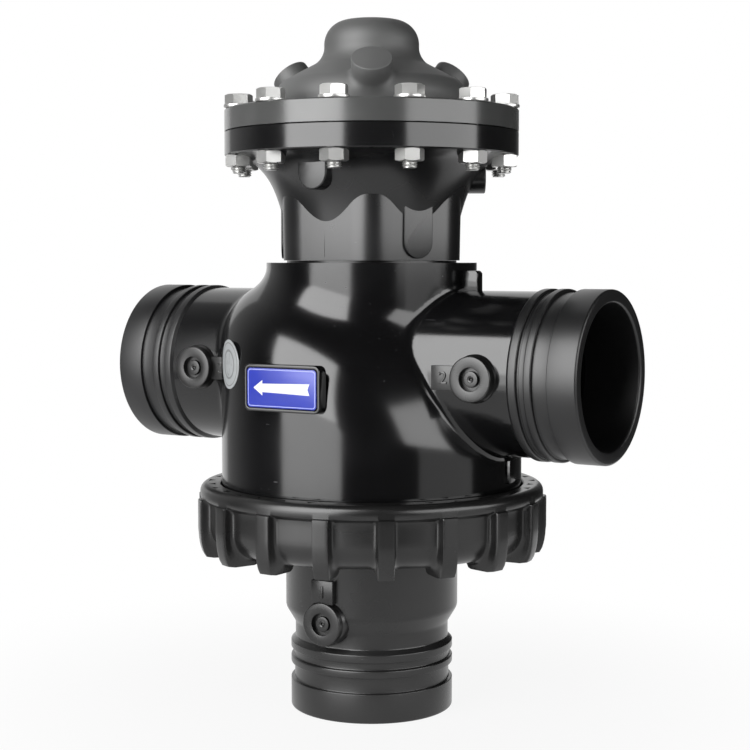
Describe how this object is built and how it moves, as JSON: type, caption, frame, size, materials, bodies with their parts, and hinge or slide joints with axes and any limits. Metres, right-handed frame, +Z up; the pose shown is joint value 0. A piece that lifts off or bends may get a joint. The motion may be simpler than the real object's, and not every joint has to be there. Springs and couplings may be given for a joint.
{
  "type": "three-port diaphragm valve",
  "caption": "Two-position diverting diaphragm valve in black plastic with grooved pipe ends, a spring-return actuator under a bolted bonnet, and a bottom port held by a ribbed union nut.",
  "frame": {"origin": "middle of port 1's end face, at the bottom", "axes": "+Z up along the stem, +X out of port 2, -Y towards the side with the arrow plate"},
  "size_m": [0.283, 0.1912, 0.3733],
  "materials": {
    "body_black": "glossy moulded black glass-filled nylon",
    "bonnet_grey": "matt dark grey moulded nylon",
    "bolt_steel": "bright stainless fasteners",
    "stem_steel": "turned stainless steel",
    "plate_steel": "zinc-plated steel",
    "spring_steel": "spring steel wire",
    "rubber": "black rubber",
    "bush": "natural acetal",
    "arrow_blue": "blue printed plate with a white arrow",
    "sticker_silver": "silver foil sticker"
  },
  "bodies": {
    "housing": {"valve_body": "body_black", "inner_tube": "body_black", "port_2_end": "body_black", "port_3_end": "body_black", "port_1_tailpiece": "body_black", "actuator_base": "body_black", "bonnet": "bonnet_grey", "diaphragm": "rubber", "return_spring": "spring_steel", "guide_bush": "bush", "stem_seal": "rubber", "neck_seal": "rubber", "tailpiece_seal": "rubber", "arrow_plate": "arrow_blue", "round_sticker": "sticker_silver", "flange_bolt_01": "bolt_steel", "flange_washer_01": "bolt_steel", "flange_nut_01": "bolt_steel", "flange_bolt_02": "bolt_steel", "flange_washer_02": "bolt_steel", "flange_nut_02": "bolt_steel", "flange_bolt_03": "bolt_steel", "flange_washer_03": "bolt_steel", "flange_nut_03": "bolt_steel", "flange_bolt_04": "bolt_steel", "flange_washer_04": "bolt_steel", "flange_nut_04": "bolt_steel", "flange_bolt_05": "bolt_steel", "flange_washer_05": "bolt_steel", "flange_nut_05": "bolt_steel", "flange_bolt_06": "bolt_steel", "flange_washer_06": "bolt_steel", "flange_nut_06": "bolt_steel", "flange_bolt_07": "bolt_steel", "flange_washer_07": "bolt_steel", "flange_nut_07": "bolt_steel", "flange_bolt_08": "bolt_steel", "flange_washer_08": "bolt_steel", "flange_nut_08": "bolt_steel", "flange_bolt_09": "bolt_steel", "flange_washer_09": "bolt_steel", "flange_nut_09": "bolt_steel", "flange_bolt_10": "bolt_steel", "flange_washer_10": "bolt_steel", "flange_nut_10": "bolt_steel", "flange_bolt_11": "bolt_steel", "flange_washer_11": "bolt_steel", "flange_nut_11": "bolt_steel", "flange_bolt_12": "bolt_steel", "flange_washer_12": "bolt_steel", "flange_nut_12": "bolt_steel"},
    "stem_assembly": {"stem": "stem_steel", "lower_diaphragm_plate": "plate_steel", "upper_diaphragm_plate": "plate_steel", "stem_top_nut": "stem_steel", "stem_bottom_nut": "stem_steel", "upper_seat_seal": "rubber", "plug": "body_black", "lower_seat_seal": "rubber"},
    "union_nut": {"union_nut": "body_black"}
  },
  "joints": [
    {"name": "stem_slide", "type": "slide", "parent": "housing", "child": "stem_assembly", "axis": [0, 0, -1], "range_m": [0, 0.02], "stiffness_N_per_m": 4000, "springref_m": -0.02, "deforming": ["return_spring", "diaphragm"]},
    {"name": "union_nut_turn", "type": "hinge", "parent": "housing", "child": "union_nut", "pos_m": [0, 0, 0.0895], "axis": [0, 0, 1], "continuous": true}
  ]
}
